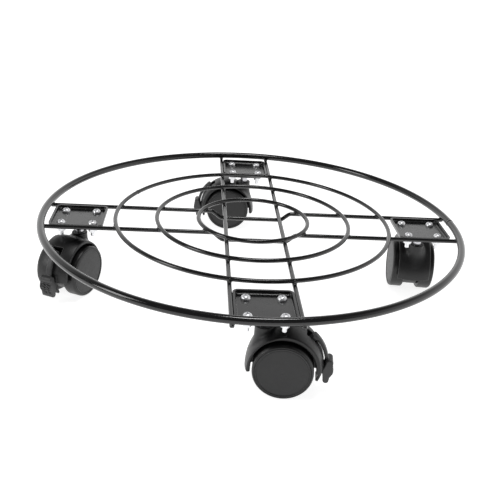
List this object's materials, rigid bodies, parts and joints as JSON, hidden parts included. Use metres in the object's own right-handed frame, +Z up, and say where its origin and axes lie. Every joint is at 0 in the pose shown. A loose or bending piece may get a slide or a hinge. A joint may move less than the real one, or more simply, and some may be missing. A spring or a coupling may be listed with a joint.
{
  "type": "plant pot caddy",
  "caption": "Round welded-wire plant pot caddy on twin-wheel swivel casters with brake levers, for moving a heavy pot across a floor.",
  "frame": {"origin": "on the floor, under the centre of the rings", "axes": "+Z up, -Y to the front caster, +X to the right caster"},
  "size_m": [0.4065, 0.4062, 0.0797],
  "materials": {
    "black_powder_coat": "semi-gloss",
    "zinc_plate": "bright",
    "dark_plate": "satin",
    "bright_steel": "brushed",
    "black_plastic": "matte",
    "charcoal_plastic": "matte"
  },
  "bodies": {
    "frame": {"outer_ring": "black_powder_coat", "large_ring": "black_powder_coat", "middle_ring": "black_powder_coat", "small_ring": "black_powder_coat", "left_cross_wire": "black_powder_coat", "right_cross_wire": "black_powder_coat", "front_cross_wire": "black_powder_coat", "rear_cross_wire": "black_powder_coat", "front_tray": "black_powder_coat", "left_tray": "black_powder_coat", "rear_tray": "black_powder_coat", "right_tray": "black_powder_coat", "tray_screws": "zinc_plate", "tray_nuts": "zinc_plate", "front_caster_plate": "dark_plate", "front_kingpin": "bright_steel", "front_grip_ring": "bright_steel", "left_caster_plate": "dark_plate", "left_kingpin": "bright_steel", "left_grip_ring": "bright_steel", "rear_caster_plate": "dark_plate", "rear_kingpin": "bright_steel", "rear_grip_ring": "bright_steel", "right_caster_plate": "dark_plate", "right_kingpin": "bright_steel", "right_grip_ring": "bright_steel"},
    "front_swivel": {"front_hood": "black_plastic", "front_axle": "bright_steel", "front_lever_pin": "bright_steel"},
    "front_inner_wheel": {"front_inner_wheel": "black_plastic", "front_inner_wheel_cover": "charcoal_plastic"},
    "front_outer_wheel": {"front_outer_wheel": "black_plastic", "front_outer_wheel_cover": "charcoal_plastic"},
    "front_brake_lever": {"front_brake_lever": "black_plastic"},
    "left_swivel": {"left_hood": "black_plastic", "left_axle": "bright_steel", "left_lever_pin": "bright_steel"},
    "left_inner_wheel": {"left_inner_wheel": "black_plastic", "left_inner_wheel_cover": "charcoal_plastic"},
    "left_outer_wheel": {"left_outer_wheel": "black_plastic", "left_outer_wheel_cover": "charcoal_plastic"},
    "left_brake_lever": {"left_brake_lever": "black_plastic"},
    "rear_swivel": {"rear_hood": "black_plastic", "rear_axle": "bright_steel", "rear_lever_pin": "bright_steel"},
    "rear_inner_wheel": {"rear_inner_wheel": "black_plastic", "rear_inner_wheel_cover": "charcoal_plastic"},
    "rear_outer_wheel": {"rear_outer_wheel": "black_plastic", "rear_outer_wheel_cover": "charcoal_plastic"},
    "rear_brake_lever": {"rear_brake_lever": "black_plastic"},
    "right_swivel": {"right_hood": "black_plastic", "right_axle": "bright_steel", "right_lever_pin": "bright_steel"},
    "right_inner_wheel": {"right_inner_wheel": "black_plastic", "right_inner_wheel_cover": "charcoal_plastic"},
    "right_outer_wheel": {"right_outer_wheel": "black_plastic", "right_outer_wheel_cover": "charcoal_plastic"},
    "right_brake_lever": {"right_brake_lever": "black_plastic"}
  },
  "joints": [
    {"name": "front_swivel_turn", "type": "hinge", "parent": "frame", "child": "front_swivel", "pos_m": [0, -0.1672, 0.05], "axis": [0, 0, 1], "continuous": true},
    {"name": "front_inner_wheel_spin", "type": "hinge", "parent": "front_swivel", "child": "front_inner_wheel", "pos_m": [0.01785, -0.16952, 0.0244], "axis": [0.1288, 0.9917, 0], "continuous": true},
    {"name": "front_outer_wheel_spin", "type": "hinge", "parent": "front_swivel", "child": "front_outer_wheel", "pos_m": [0.01785, -0.16952, 0.0244], "axis": [0.1288, 0.9917, 0], "continuous": true},
    {"name": "front_brake_lever_lift", "type": "hinge", "parent": "front_swivel", "child": "front_brake_lever", "pos_m": [0.03344, -0.17154, 0.04186], "axis": [-0.1288, -0.9917, 0], "range_deg": [0, 18]},
    {"name": "left_swivel_turn", "type": "hinge", "parent": "frame", "child": "left_swivel", "pos_m": [-0.1672, 0, 0.05], "axis": [0, 0, 1], "continuous": true},
    {"name": "left_inner_wheel_spin", "type": "hinge", "parent": "left_swivel", "child": "left_inner_wheel", "pos_m": [-0.17478, -0.01633, 0.0244], "axis": [0.907, -0.421, 0], "continuous": true},
    {"name": "left_outer_wheel_spin", "type": "hinge", "parent": "left_swivel", "child": "left_outer_wheel", "pos_m": [-0.17478, -0.01633, 0.0244], "axis": [0.907, -0.421, 0], "continuous": true},
    {"name": "left_brake_lever_lift", "type": "hinge", "parent": "left_swivel", "child": "left_brake_lever", "pos_m": [-0.1814, -0.03059, 0.04186], "axis": [-0.907, 0.421, 0], "range_deg": [0, 18]},
    {"name": "rear_swivel_turn", "type": "hinge", "parent": "frame", "child": "rear_swivel", "pos_m": [0, 0.1672, 0.05], "axis": [0, 0, 1], "continuous": true},
    {"name": "rear_inner_wheel_spin", "type": "hinge", "parent": "rear_swivel", "child": "rear_inner_wheel", "pos_m": [-0.01799, 0.16786, 0.0244], "axis": [-0.0366, -0.9993, 0], "continuous": true},
    {"name": "rear_outer_wheel_spin", "type": "hinge", "parent": "rear_swivel", "child": "rear_outer_wheel", "pos_m": [-0.01799, 0.16786, 0.0244], "axis": [-0.0366, -0.9993, 0], "continuous": true},
    {"name": "rear_brake_lever_lift", "type": "hinge", "parent": "rear_swivel", "child": "rear_brake_lever", "pos_m": [-0.0337, 0.16844, 0.04186], "axis": [0.0366, 0.9993, 0], "range_deg": [0, 18]},
    {"name": "right_swivel_turn", "type": "hinge", "parent": "frame", "child": "right_swivel", "pos_m": [0.1672, 0, 0.05], "axis": [0, 0, 1], "continuous": true},
    {"name": "right_inner_wheel_spin", "type": "hinge", "parent": "right_swivel", "child": "right_inner_wheel", "pos_m": [0.16908, 0.0179, 0.0244], "axis": [-0.9945, 0.1045, 0], "continuous": true},
    {"name": "right_outer_wheel_spin", "type": "hinge", "parent": "right_swivel", "child": "right_outer_wheel", "pos_m": [0.16908, 0.0179, 0.0244], "axis": [-0.9945, 0.1045, 0], "continuous": true},
    {"name": "right_brake_lever_lift", "type": "hinge", "parent": "right_swivel", "child": "right_brake_lever", "pos_m": [0.17072, 0.03354, 0.04186], "axis": [0.9945, -0.1045, 0], "range_deg": [0, 18]}
  ]
}
